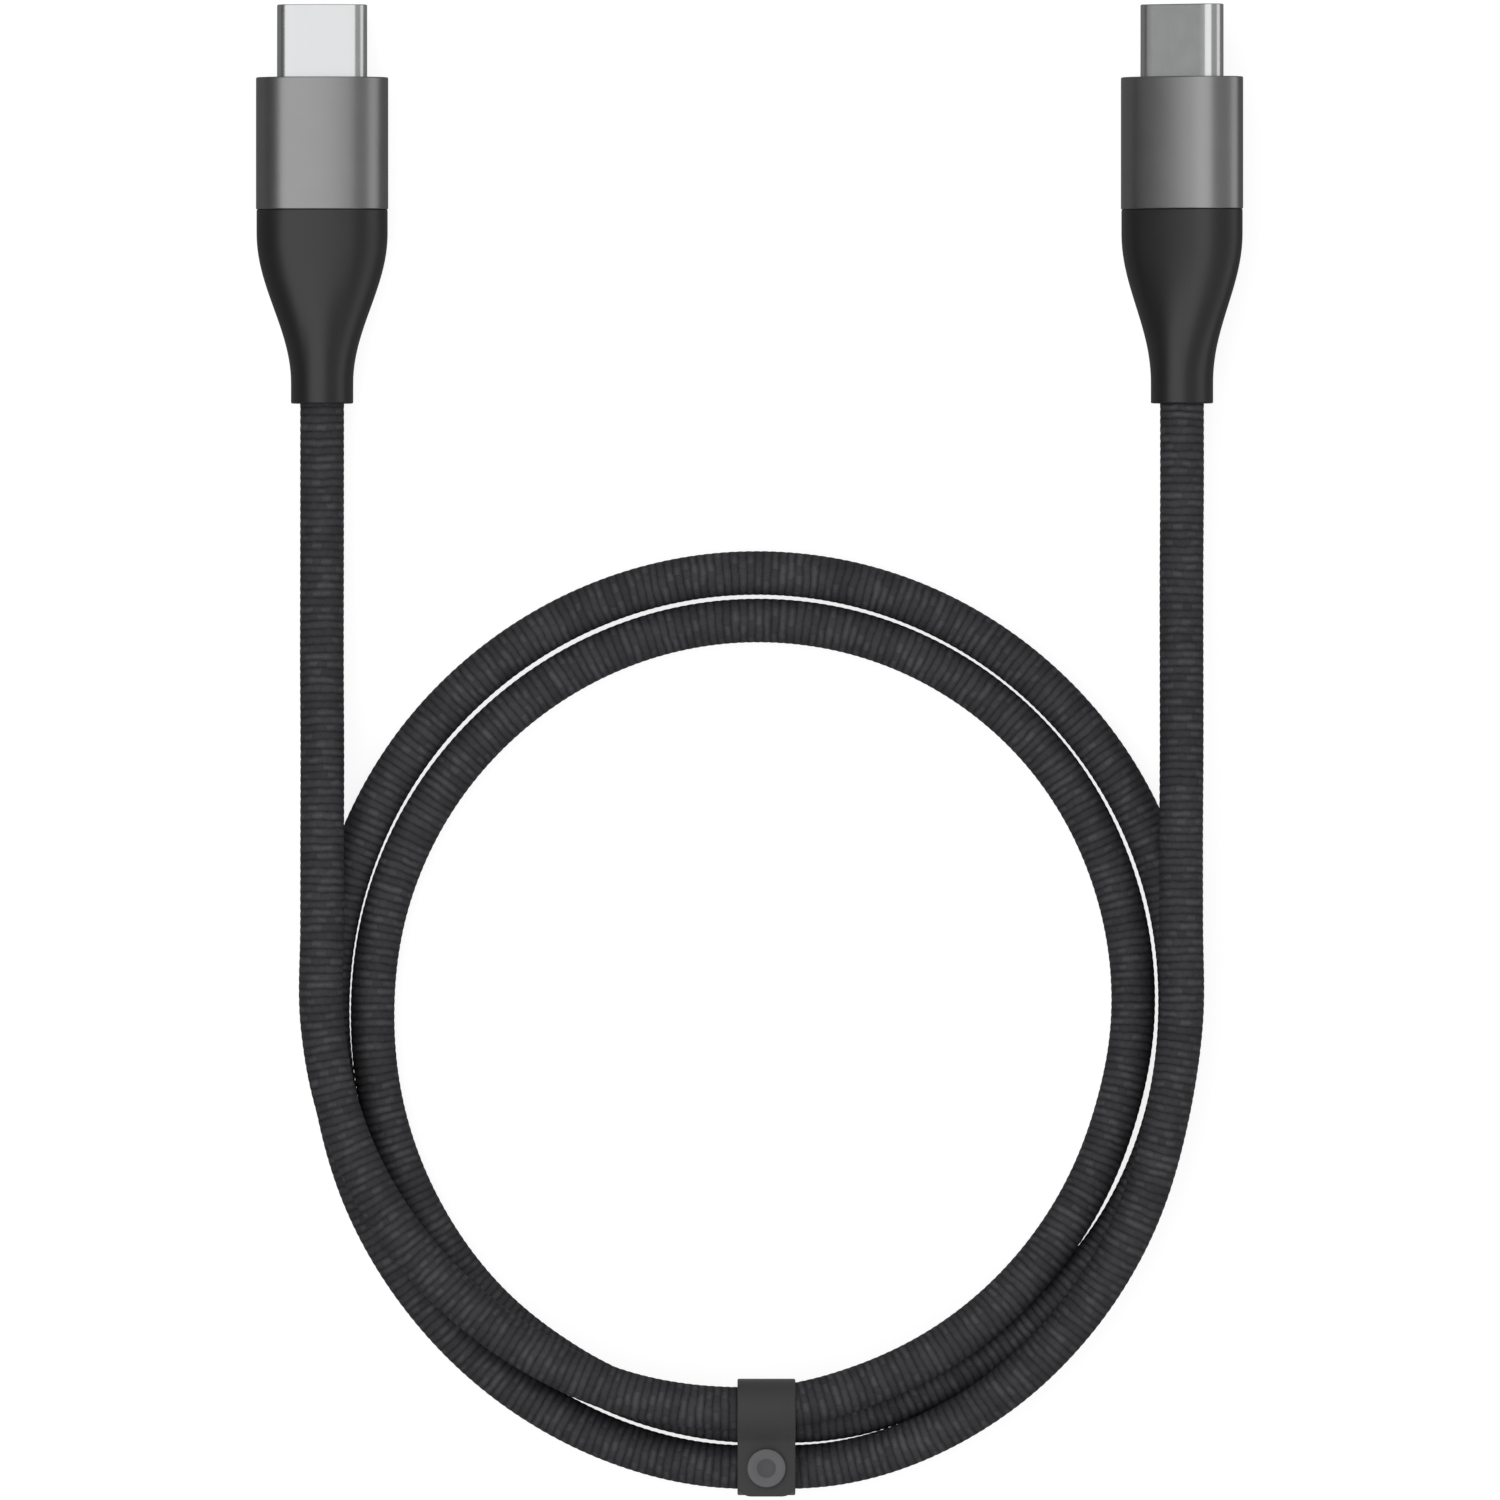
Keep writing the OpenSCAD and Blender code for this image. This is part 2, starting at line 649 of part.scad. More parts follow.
// Strands inside the strap, packed together
module strap_bundle_2d() {
    for (strand = [strand_outer, strand_middle, strand_top]) translate(strand) circle(r = cord_r);
    polygon([strand_outer, strand_middle, strand_top]);
    translate([strand_outer.x, strand_z - cord_r]) square([strand_middle.x - strand_outer.x, cord_d]);
}

module cable_coil() color(charcoal) {
    gap_w = strap_w + 2 * strap_side_gap;
    difference() {
        translate([coil_centre.x, coil_centre.y, 0]) {
            rotate_extrude(angle = 180, $fn = 96) coil_low_2d();
            rotate([0, 0, 180]) rotate_extrude(angle = 180, $fn = 96) coil_high_2d();
        }
        translate([strap_x, 0, 0]) block(gap_w, -80, -50, -1, 20);
    }
    translate([strap_x, 0, 0]) across_x(gap_w + 2) strap_bundle_2d();
}

module cable_lead_a() color(charcoal) tube(lead_a_route, cord_d, lead_sides);
module cable_lead_b() color(charcoal) tube(lead_b_route, cord_d, lead_sides);

cable_coil();
cable_lead_a();
cable_lead_b();
strap_band();
strap_flap();
snap_cap();
snap_socket();
snap_stud();
snap_post();
in_plug_a() shell();  // plug_a_shell
in_plug_a() contact_block();  // plug_a_contact_block
in_plug_a() upper_wafer();  // plug_a_upper_wafer
in_plug_a() lower_wafer();  // plug_a_lower_wafer
in_plug_a() upper_contacts();  // plug_a_upper_contacts
in_plug_a() lower_contacts();  // plug_a_lower_contacts
in_plug_a() latch_plate();  // plug_a_latch_plate
in_plug_a() ground_springs();  // plug_a_ground_springs
in_plug_a() circuit_board();  // plug_a_circuit_board
in_plug_a() marker_chip();  // plug_a_marker_chip
in_plug_a() capacitors();  // plug_a_capacitors
in_plug_a() upper_can();  // plug_a_upper_can
in_plug_a() lower_can();  // plug_a_lower_can
in_plug_a() crimp_ring();  // plug_a_crimp_ring
in_plug_a() inner_mold();  // plug_a_inner_mold
in_plug_a() sleeve();  // plug_a_sleeve
in_plug_a() strain_relief();  // plug_a_strain_relief
in_plug_a() cable_jacket();  // plug_a_cable_jacket
in_plug_a() cable_braid();  // plug_a_cable_braid
in_plug_a() power_wire();  // plug_a_power_wire
in_plug_a() ground_wire();  // plug_a_ground_wire
in_plug_a() control_wire();  // plug_a_control_wire
in_plug_a() green_data_wire();  // plug_a_green_data_wire
in_plug_a() white_data_wire();  // plug_a_white_data_wire
in_plug_b() shell();  // plug_b_shell
in_plug_b() contact_block();  // plug_b_contact_block
in_plug_b() upper_wafer();  // plug_b_upper_wafer
in_plug_b() lower_wafer();  // plug_b_lower_wafer
in_plug_b() upper_contacts();  // plug_b_upper_contacts
in_plug_b() lower_contacts();  // plug_b_lower_contacts
in_plug_b() latch_plate();  // plug_b_latch_plate
in_plug_b() ground_springs();  // plug_b_ground_springs
in_plug_b() circuit_board();  // plug_b_circuit_board
in_plug_b() marker_chip();  // plug_b_marker_chip
in_plug_b() capacitors();  // plug_b_capacitors
in_plug_b() upper_can();  // plug_b_upper_can
in_plug_b() lower_can();  // plug_b_lower_can
in_plug_b() crimp_ring();  // plug_b_crimp_ring
in_plug_b() inner_mold();  // plug_b_inner_mold
in_plug_b() sleeve();  // plug_b_sleeve
in_plug_b() strain_relief();  // plug_b_strain_relief
in_plug_b() cable_jacket();  // plug_b_cable_jacket
in_plug_b() cable_braid();  // plug_b_cable_braid
in_plug_b() power_wire();  // plug_b_power_wire
in_plug_b() ground_wire();  // plug_b_ground_wire
in_plug_b() control_wire();  // plug_b_control_wire
in_plug_b() green_data_wire();  // plug_b_green_data_wire
in_plug_b() white_data_wire();  // plug_b_white_data_wire
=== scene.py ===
import json
from math import acos, asin, atan2, ceil, cos, pi, radians, sin

import bmesh
import bpy
import numpy as np
from bmesh.types import BMEdge, BMVert
from bpy.props import FloatProperty, FloatVectorProperty, IntProperty, PointerProperty
from bpy.types import Operator, Panel, PropertyGroup
from mathutils import Matrix, Vector


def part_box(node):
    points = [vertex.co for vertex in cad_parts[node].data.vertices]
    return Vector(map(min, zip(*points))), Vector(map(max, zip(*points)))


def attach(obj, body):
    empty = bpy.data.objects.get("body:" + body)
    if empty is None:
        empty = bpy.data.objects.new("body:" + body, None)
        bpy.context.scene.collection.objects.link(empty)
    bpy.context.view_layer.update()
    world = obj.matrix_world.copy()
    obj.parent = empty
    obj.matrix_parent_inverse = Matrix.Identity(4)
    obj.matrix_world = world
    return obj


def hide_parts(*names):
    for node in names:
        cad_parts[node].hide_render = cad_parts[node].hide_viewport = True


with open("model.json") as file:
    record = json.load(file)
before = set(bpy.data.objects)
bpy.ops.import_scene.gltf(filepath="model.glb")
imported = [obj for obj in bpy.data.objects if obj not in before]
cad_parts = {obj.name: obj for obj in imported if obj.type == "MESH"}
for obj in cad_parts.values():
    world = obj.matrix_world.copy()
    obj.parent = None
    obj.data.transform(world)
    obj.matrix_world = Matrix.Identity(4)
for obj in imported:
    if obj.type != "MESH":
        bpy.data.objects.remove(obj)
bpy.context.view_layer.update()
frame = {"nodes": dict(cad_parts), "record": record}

bl_info = {
    "name": "Coiled charging cable",
    "version": (1, 0, 0),
    "blender": (4, 5, 0),
    "location": "3D View > Sidebar > Cable",
    "description": "Builds the woven cord, plugs and strap of a coiled charging cable",
    "category": "Add Mesh",
}

MM = 0.001
RECORD = frame["record"]
MOUNTS = {mount["name"]: mount for mount in RECORD["mounts"]}
SLOT_COLOURS = {m["slot"]: tuple(m["base_color"][:3]) for m in RECORD["materials"]}
SLOT_OF_NODE = {part["node"]: part["material_slot"] for part in RECORD["subparts"]}


# ---- sizes and colours ----


def size_of(node):
    """How wide, long and high a CAD node is."""
    low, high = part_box(node)
    return high - low


def length(name, description, default, low, high):
    """A length that the sidebar shows in the scene's own unit."""
    return FloatProperty(
        name=name, description=description, default=default, min=low, max=high,
        unit="LENGTH", precision=5)


def slot_colour(name, description, slot):
    """A colour that starts as the record's colour of a material slot."""
    return FloatVectorProperty(
        name=name, description=description, default=SLOT_COLOURS[slot], size=3,
        min=0, max=1, subtype="COLOR")


class CordSettings(PropertyGroup):
    diameter: length("Diameter", "Diameter over the weave", 4.06 * MM, 3 * MM, 5 * MM)
    rib_pitch: length("Rib pitch", "Distance from rib to rib", 0.73 * MM, 0.4 * MM, 2 * MM)
    rib_depth: length("Rib depth", "Depth of the valleys between ribs", 0.035 * MM, 0, 0.2 * MM)
    cells: IntProperty(
        name="Crossings", description="Yarn crossings round one rib", default=14, min=6, max=40)
    colour: slot_colour("Colour", "Colour of the yarn", "woven_cord")


class PlugSettings(PropertyGroup):
    shell_wall: length("Shell wall", "Wall of the steel shell", 0.3 * MM, 0.2 * MM, 0.4 * MM)
    sleeve_wall: length("Sleeve wall", "Wall of the aluminium sleeve", 0.6 * MM, 0.3 * MM, 1 * MM)
    sleeve_front: length("Sleeve front", "Front wall of the sleeve", 0.8 * MM, 0.4 * MM, 1 * MM)
    edge: length("Edge", "Radius of the metal edges", 0.12 * MM, 0.02 * MM, 0.14 * MM)
    neck: length("Neck", "Diameter of the strain relief's neck", 5.7 * MM, 5 * MM, 6 * MM)
    crown: FloatProperty(
        name="Crown", description="How much the flat sides bulge", default=0.25, min=0, max=0.3,
        subtype="FACTOR")
    shell_colour: slot_colour("Shell", "Colour of the plated steel", "plug_steel")
    sleeve_colour: slot_colour("Sleeve", "Colour of the anodised aluminium", "sleeve_aluminium")
    relief_colour: slot_colour("Strain relief", "Colour of the soft moulding", "relief_rubber")


class StrapSettings(PropertyGroup):
    thickness: length("Thickness", "Thickness of the strap", 0.5 * MM, 0.3 * MM, 0.8 * MM)
    edge: length("Edge", "Radius of the strap's edges", 0.14 * MM, 0.02 * MM, 0.2 * MM)
    colour: slot_colour("Colour", "Colour of the silicone", "strap_silicone")
    cap_colour: slot_colour("Cap", "Colour of the press stud's cap", "snap_cap_plastic")


class StageSettings(PropertyGroup):
    view_width: length("View width", "Width that the camera takes in", 137.25 * MM, 0.05, 1)
    lens: FloatProperty(
        name="Lens", description="Focal length of the camera", default=600, min=50, max=1500,
        unit="CAMERA")
    floor_colour: FloatVectorProperty(
        name="Floor", description="Colour of the floor", default=(0.3, 0.3, 0.3), size=3,
        min=0, max=1, subtype="COLOR")


# ---- places ----


def plug_place(letter):
    """From a plug's own frame to the row frame: +Y out of its tip, Y = 0 at its sleeve's front."""
    tip = MOUNTS[f"plug_{letter}_connector"]["pos_m"]
    level, rolled = size_of("plug_a_sleeve"), size_of(f"plug_{letter}_sleeve")
    lean = acos(min((rolled.x - level.z) / (level.x - level.z), 1))
    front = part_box(f"plug_{letter}_sleeve")[1].y
    return Matrix.Translation((tip[0], front, tip[2])) @ Matrix.Rotation(-lean, 4, "Y")


# ---- meshes ----

SMOOTH_BELOW = radians(40)  # faces that meet at a larger angle keep a crisp edge between them
ROUND_FROM = radians(50)  # faces that meet at a larger angle get a rounded edge
ROUND_SEGMENTS = 3
MERGE_WITHIN = 1e-7


def new_piece(name, bm, finish):
    """Makes a piece from a mesh that is already in its place, smooth but for its corners."""
    mesh = bpy.data.meshes.new(name)
    bm.to_mesh(mesh)
    bm.free()
    mesh.shade_smooth()
    mesh.set_sharp_from_angle(angle=SMOOTH_BELOW)
    mesh.materials.append(finish)
    piece = bpy.data.objects.new(name, mesh)
    bpy.context.scene.collection.objects.link(piece)
    return piece


def round_edges(bm, radius):
    """Rounds every edge at which two faces meet sharply."""
    sharp = [edge for edge in bm.edges if edge.calc_face_angle(0) > ROUND_FROM]
    bmesh.ops.bevel(
        bm, geom=sharp, offset=radius, segments=ROUND_SEGMENTS, profile=0.5, affect="EDGES",
        offset_type="OFFSET", material=-1)


def close_up(bm):
    """Merges the points that meet and turns the faces outwards."""
    bmesh.ops.remove_doubles(bm, verts=bm.verts, dist=MERGE_WITHIN)
    bmesh.ops.recalc_face_normals(bm, faces=bm.faces)


def cap_ends(bm):
    """Fills the open ends of a tube and turns the faces outwards."""
    bmesh.ops.holes_fill(bm, edges=[edge for edge in bm.edges if edge.is_boundary], sides=0)
    bmesh.ops.recalc_face_normals(bm, faces=bm.faces)


def of_kind(items, kind):
    """The vertices, edges or faces among the items."""
    return [item for item in items if isinstance(item, kind)]


def next_ring(bm, edges):
    """Extrudes a ring of edges in place, and returns the new ring's vertices and edges."""
    made = bmesh.ops.extrude_edge_only(bm, edges=edges)["geom"]
    verts = of_kind(made, BMVert)
    ring = set(verts)
    return verts, [edge for edge in of_kind(made, BMEdge) if ring.issuperset(edge.verts)]


# ---- lofts along a plug's axis ----

RING_STEPS = 72
FLAT_HALF = radians(30)  # half of the angle that each flat side of a ring takes up
HOLD = 3  # a long wall is held flat from this many edge radii off its corners


def slot_point(angle):
    """Where a ring's point lies on a slot outline: its share of the flat, how far out and up."""
    across, up = cos(angle), sin(angle)
    side, top = (1 if across > 0 else -1), (1 if up > 0 else -1)
    if abs(across) < sin(FLAT_HALF):
        return asin(across) / FLAT_HALF, 0, top
    turn = atan2(abs(up), abs(across)) * (pi / 2) / (pi / 2 - FLAT_HALF)
    return side, side * cos(turn), top * sin(turn)


def place_ring(verts, marks, section):
    """Puts a ring's vertices on a section's outline: y, width, height, roundness and crown."""
    y, width, height, roundness, crown = section
    slot_mark, round_mark = marks
    for vert in verts:
        flat, out, up = vert[slot_mark]
        slot = Vector((flat * (width - height) / 2 + out * height / 2, y, up * height / 2))
        circle = Vector((vert[round_mark].x * width / 2, y, vert[round_mark].y * height / 2))
        vert.co = slot.lerp(circle, roundness)
        vert.co.z *= 1 - crown * (2 * vert.co.x / width) ** 2


def held(sections, hold):
    """The sections, with two more on each long wall, which keep it flat up to its rounded edges."""
    for start, end in zip(sections, sections[1:]):
        yield start
        long = abs(end[0] - start[0])
        if long > 4 * hold:
            yield start.lerp(end, hold / long)
            yield end.lerp(start, hold / long)
    yield sections[-1]


def loft(sections, edge):
    """A closed wall through sections, the last of which is the first again."""
    bm = bmesh.new()
    marks = [bm.verts.layers.float_vector.new(name) for name in ("slot", "round")]
    verts = bmesh.ops.create_circle(bm, segments=RING_STEPS, radius=1)["verts"]
    for vert in verts:
        angle = atan2(vert.co.y, vert.co.x)
        vert[marks[0]] = slot_point(angle)
        vert[marks[1]] = (cos(angle), sin(angle), 0)
    edges = list(bm.edges)
    for number, section in enumerate(held([Vector(s) for s in sections], HOLD * edge)):
        if number:
            verts, edges = next_ring(bm, edges)
        place_ring(verts, marks, section)
    close_up(bm)
    round_edges(bm, edge)
    return bm


# ---- plugs ----

SHELL_LIP = 0.8  # the shell's lips are rounded by this share of the edge radius
SHELL_GAP = 0.04 * MM  # how much wider than the shell its opening in the sleeve is


def sleeve_bore(plug):
    """The width, height, roundness and crown of the sleeve's inside."""
    sleeve = size_of("plug_a_sleeve")
    return sleeve.x - 2 * plug.sleeve_wall, sleeve.z - 2 * plug.sleeve_wall, 0, plug.crown


def shell_mesh(plug):
    """Drawn steel tube of a plug, with rounded lips."""
    shell, wall = size_of("plug_a_shell"), plug.shell_wall
    mouth = MOUNTS["plug_a_connector"]["pos_m"][1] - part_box("plug_a_sleeve")[1].y
    back = mouth - shell.y
    inner = (shell.x - 2 * wall, shell.z - 2 * wall)
    return loft(
        [(back, shell.x, shell.z, 0, 0), (mouth, shell.x, shell.z, 0, 0), (mouth, *inner, 0, 0),
         (back, *inner, 0, 0), (back, shell.x, shell.z, 0, 0)],
        edge=SHELL_LIP * plug.edge)


def sleeve_mesh(plug):
    """Aluminium sleeve with its front wall and the opening for the shell."""
    sleeve, shell = size_of("plug_a_sleeve"), size_of("plug_a_shell")
    outer, inner = (sleeve.x, sleeve.z, 0, plug.crown), sleeve_bore(plug)
    opening = (shell.x + SHELL_GAP, shell.z + SHELL_GAP, 0, 0)
    return loft(
        [(-sleeve.y, *outer), (0, *outer), (0, *opening), (-plug.sleeve_front, *opening),
         (-plug.sleeve_front, *inner), (-sleeve.y, *inner), (-sleeve.y, *outer)],
        edge=plug.edge)


RELIEF_LENGTH = 17.75 * MM
RELIEF_STEP = 0.05 * MM  # how far the strain relief stands back from the sleeve on each side
RELIEF_SHOULDER = 2.2 * MM  # stretch behind the sleeve before the taper starts
RELIEF_TAPER = 13.7 * MM
RELIEF_STATIONS = 30
SPIGOT_LENGTH = 0.5 * MM  # what sits inside the sleeve
CORD_BORE = 4.1 * MM
JACKET_BORE = 3.7 * MM
CORD_STOP = 2 * MM  # stretch of narrow bore at the front, where the cord has lost its woven cover


def strain_relief_mesh(plug):
    """Soft moulding that tapers from the sleeve's outline to a round neck, bored for the cord."""
    sleeve, spigot = size_of("plug_a_sleeve"), sleeve_bore(plug)
    wide, high = sleeve.x - 2 * RELIEF_STEP, sleeve.z - 2 * RELIEF_STEP
    front, back = -sleeve.y, -sleeve.y - RELIEF_LENGTH
    spigot_end = front + SPIGOT_LENGTH
    outside = []
    for station in range(RELIEF_STATIONS + 1):
        behind = RELIEF_LENGTH * station / RELIEF_STATIONS
        share = min(max((behind - RELIEF_SHOULDER) / RELIEF_TAPER, 0), 1)
        taper = (1 - cos(pi * share)) / 2
        outside.append((
            front - behind, wide + (plug.neck - wide) * taper,
            high + (plug.neck - high) * taper, taper, plug.crown * (1 - taper)))
    bore, jacket = (CORD_BORE, CORD_BORE, 1, 0), (JACKET_BORE, JACKET_BORE, 1, 0)
    stop = spigot_end - CORD_STOP
    return loft(
        [(spigot_end, *spigot), (front, *spigot), *outside, (back, *bore), (stop, *bore),
         (stop, *jacket), (spigot_end, *jacket), (spigot_end, *spigot)],
        edge=plug.edge)


# ---- the cord ----

# Leads as points of the cord's middle line, in millimetres, from each strain relief to the coil
LEAD_A = [
    (-39.15, 47.95, 3.1), (-39.15, 39.825, 3.1), (-39.15, 31.7, 3.1), (-39.15, 24, 3.2),
    (-39.15, 16, 3.6), (-39.15, 8, 4.2), (-39.1, 0, 4.9), (-39.1, -8, 5.6),
    (-39.1, -16, 6.05), (-39.1, -24.8, 6.1)]
LEAD_B = [
    (39.5, 47.95, 4.485), (39.5, 39.825, 4.485), (39.5, 31.7, 4.485), (39.5, 24, 4.6),
    (39.45, 16, 4.8), (39.45, 8, 5.1), (39.45, 0, 5.4), (39.4, -8, 5.8),
    (39.4, -16, 6.1), (39.4, -24.8, 6.1)]

# The coil: angle round its middle in degrees, radius and height in millimetres.
# The turns start on top at the left, pass under the strap three times and end on top at the right.
COIL_MIDDLE = (0.2, -24.3)
COIL = [
    (180, 39.3, 6.1), (195, 38.65, 6.1), (210, 37.85, 6.0), (240, 36.6, 6.1), (250, 36.4, 6.2),
    (264, 36.0, 6.5), (276, 35.75, 6.45), (284, 35.4, 6.2), (300, 34.95, 5.3), (330, 34.45, 3.5),
    (345, 34.45, 2.5), (360, 34.85, 2), (378, 35.3, 2), (405, 36.0, 2), (430, 36.25, 2),
    (450, 36.15, 2), (495, 35.35, 2), (522, 34.95, 2), (540, 34.75, 2), (555, 34.9, 2),
    (570, 35.2, 2), (590, 35.85, 2), (600, 36.15, 2), (609, 36.55, 2.1), (624, 37.0, 2.6),
    (636, 37.3, 2.6),
    (642, 37.6, 2.3), (660, 37.7, 2), (690, 38.7, 2), (707, 39.0, 2), (720, 39.15, 2),
    (737, 39.6, 2), (765, 40.2, 2), (797, 40.55, 2), (810, 40.5, 2), (855, 39.7, 2), (882, 39.1, 2),
    (900, 38.85, 2), (913, 38.85, 2), (925, 39.2, 2), (940, 39.65, 2), (960, 40.45, 2),
    (971, 40.9, 2.2), (984, 41.3, 2.6), (991, 41.35, 2.7), (1002, 41.7, 3.1), (1021, 41.3, 4.2),
    (1037, 40.5, 5.2), (1050, 39.8, 5.8), (1067, 39.0, 6.1), (1080, 39.1, 6.1)]
COIL_FIRST, COIL_LAST, COIL_STEP = 190, 1070, 5  # degrees, between the two leads
LOWEST = 2  # height of the middle line where the cord lies on the table
FINE_STEPS = 12000  # points on the line before it is cut into even steps
CORD_SIDES = 22
RINGS_PER_RIB = 4
RIB_FULLNESS = 0.7  # below 1 a rib is fuller than a sine wave, and its valleys are narrower


def through(points, where):
    """Values on a smooth curve through points, whose first column is the place along it."""
    points, where = np.array(points, float), np.asarray(where, float)
    place, value = points[:, :1], points[:, 1:]
    slope = np.gradient(value, points[:, 0], axis=0)
    i = np.clip(np.searchsorted(points[:, 0], where) - 1, 0, len(points) - 2)
    gap = place[i + 1] - place[i]
    t = (where[:, None] - place[i]) / gap
    return ((2 * t**3 - 3 * t**2 + 1) * value[i] + (t**3 - 2 * t**2 + t) * gap * slope[i]
            + (3 * t**2 - 2 * t**3) * value[i + 1] + (t**3 - t**2) * gap * slope[i + 1])


def coil_points():
    """The cord's middle line round the coil, in millimetres."""
    angles = np.arange(COIL_FIRST, COIL_LAST + COIL_STEP, COIL_STEP)
    points = []
    for angle, (radius, height) in zip(np.radians(angles), through(COIL, angles)):
        points.append((
            COIL_MIDDLE[0] + radius * cos(angle), COIL_MIDDLE[1] + radius * sin(angle),
            max(height, LOWEST)))
    return points


def along(line):
    """How far along a line each of its points is."""
    return np.concatenate([[0], np.cumsum(np.linalg.norm(np.diff(line, axis=0), axis=1))])


def cord_line(cord):
    """The middle line of the whole cord in metres: its points are evenly spaced, a few to a rib."""
    rough = np.array(LEAD_A + coil_points() + LEAD_B[::-1]) * MM
    route = np.column_stack([along(rough), rough])
    fine = through(route, np.linspace(0, route[-1, 0], FINE_STEPS))
    travelled = along(fine)
    ribs = round(travelled[-1] / cord.rib_pitch)
    places = np.linspace(0, travelled[-1], ribs * RINGS_PER_RIB + 1)
    return np.column_stack([np.interp(places, travelled, fine[:, k]) for k in range(3)])


def cord_mesh(cord, line):
    """Ribbed tube along a line, with a map of the weave: X along the cord and Y round it."""
    bm = bmesh.new()
    bm.loops.layers.uv.new("weave")
    bmesh.ops.create_grid(
        bm, x_segments=len(line) - 1, y_segments=CORD_SIDES, size=1, calc_uvs=True)
    ahead = np.gradient(line, axis=0)
    ahead /= np.linalg.norm(ahead, axis=1)[:, None]
    across = np.cross((0, 0, 1), ahead)
    across /= np.linalg.norm(across, axis=1)[:, None]
    above = np.cross(ahead, across)
    crest = abs(np.sin(pi * np.arange(len(line)) / RINGS_PER_RIB)) ** RIB_FULLNESS
    radius = cord.diameter / 2 - cord.rib_depth * (1 - crest)
    for vert in bm.verts:
        ring = round((vert.co.x + 1) / 2 * (len(line) - 1))
        angle = pi * vert.co.y - pi / 2
        way = cos(angle) * across[ring] + sin(angle) * above[ring]
        vert.co = line[ring] + radius[ring] * way
    close_up(bm)
    cap_ends(bm)
    return bm


# ---- strap and press stud ----

STRAP_X = 1.5 * MM  # middle of the strap across the cable
BEND_STEP = 7.5  # degrees
CORNER_SEGMENTS = 4
ROUND_END_STEPS = 6
TURN_STEPS = 64
CAP_THICKNESS = 0.45 * MM
CAP_EDGE = 0.6  # the cap's edges are rounded by this share of the strap's edge radius
PIN_RADIUS = 0.44 * MM
DISH_RADIUS, DISH_DEPTH = 0.88 * MM, 0.12 * MM
DISH_FLOOR = 0.8  # share of the dish's radius that its flat bottom takes up


class Strip:
    """A strap laid off the roll: straight runs and bends of a flat section with rounded edges."""

    def __init__(self, middle_x, width, strap, start, heading):
        self.bm = bmesh.new()
        self.middle_x, self.width = middle_x, width
        self.place, self.heading = Vector(start) * MM, radians(heading)
        bmesh.ops.create_grid(self.bm, x_segments=1, y_segments=1, size=0.5)
        bmesh.ops.scale(self.bm, vec=(width, strap.thickness, 1), verts=self.bm.verts)
        bmesh.ops.bevel(
            self.bm, geom=self.bm.verts, offset=strap.edge, segments=CORNER_SEGMENTS,
            profile=0.5, affect="VERTICES", offset_type="OFFSET", material=-1)
        bmesh.ops.delete(self.bm, geom=self.bm.faces, context="FACES_ONLY")
        across, up = Vector((1, 0, 0)), Vector((0, -sin(self.heading), cos(self.heading)))
        for vert in self.bm.verts:
            vert.co = Vector((middle_x, *self.place)) + vert.co.x * across + vert.co.y * up
        self.verts, self.edges = list(self.bm.verts), list(self.bm.edges)

    def run(self, long, narrow=0.0):
        """Goes straight on for a length, and narrows by that much on each side."""
        self.verts, self.edges = next_ring(self.bm, self.edges)
        way = Vector((0, cos(self.heading), sin(self.heading))) * long
        bmesh.ops.translate(self.bm, vec=way, verts=self.verts)
        self.place += way.yz
        slimmer = 1 - 2 * narrow / self.width
        bmesh.ops.scale(
            self.bm, vec=(slimmer, 1, 1), verts=self.verts,
            space=Matrix.Translation((-self.middle_x, 0, 0)))
        self.width *= slimmer

    def bend(self, radius, degrees):
        """Turns left, or right by a negative angle, on a radius to the strap's middle."""
        side = 1 if degrees > 0 else -1
        left = Vector((-sin(self.heading), cos(self.heading)))
        centre = self.place + side * radius * left
        made = bmesh.ops.spin(
            self.bm, geom=self.verts + self.edges, cent=(self.middle_x, *centre), axis=(1, 0, 0),
            angle=radians(degrees), steps=ceil(abs(degrees) / BEND_STEP), use_merge=False)
        self.verts = of_kind(made["geom_last"], BMVert)
        self.edges = of_kind(made["geom_last"], BMEdge)
        arm = self.place - centre
        self.place = centre + Matrix.Rotation(radians(degrees), 2) @ arm
        self.heading += radians(degrees)

    def round_end(self, radius):
        """Goes on into an end whose two corners are rounded."""
        turns = [radians(90 * step / ROUND_END_STEPS) for step in range(ROUND_END_STEPS + 1)]
        for before, after in zip(turns, turns[1:]):
            self.run(radius * (sin(after) - sin(before)), radius * (cos(before) - cos(after)))

    def finished(self):
        """The strap with its two ends closed."""
        close_up(self.bm)
        cap_ends(self.bm)
        return self.bm


def turned(middle, profile, edge):
    """A round piece about an upright axis, from its profile of radii and heights."""
    bm = bmesh.new()
    verts = [bm.verts.new((middle.x + radius, middle.y, height)) for radius, height in profile]
    edges = [bm.edges.new(pair) for pair in zip(verts, verts[1:])]
    bmesh.ops.spin(
        bm, geom=verts + edges, cent=(middle.x, middle.y, 0), axis=(0, 0, 1), angle=2 * pi,
        steps=TURN_STEPS, use_merge=True)
    close_up(bm)
    round_edges(bm, edge)
    return bm


def strap_band_mesh(strap):
    """The part of the strap that goes round the coil and ends under the flap."""
    strip = Strip(STRAP_X, size_of("strap_band").x, strap, (-63.85, 5.2), 180)
    strip.run(2.938 * MM)  # outwards under the flap
    strip.bend(0.8 * MM, 77.5)
    strip.run(1.5 * MM)  # down the coil's outer side
    strip.bend(2.35 * MM, 102.5)
    strip.run(6.05 * MM)  # inwards under the coil
    strip.bend(1.75 * MM, 90)
    strip.run(4.48 * MM)  # up its inner side to the hinge
    return strip.finished()


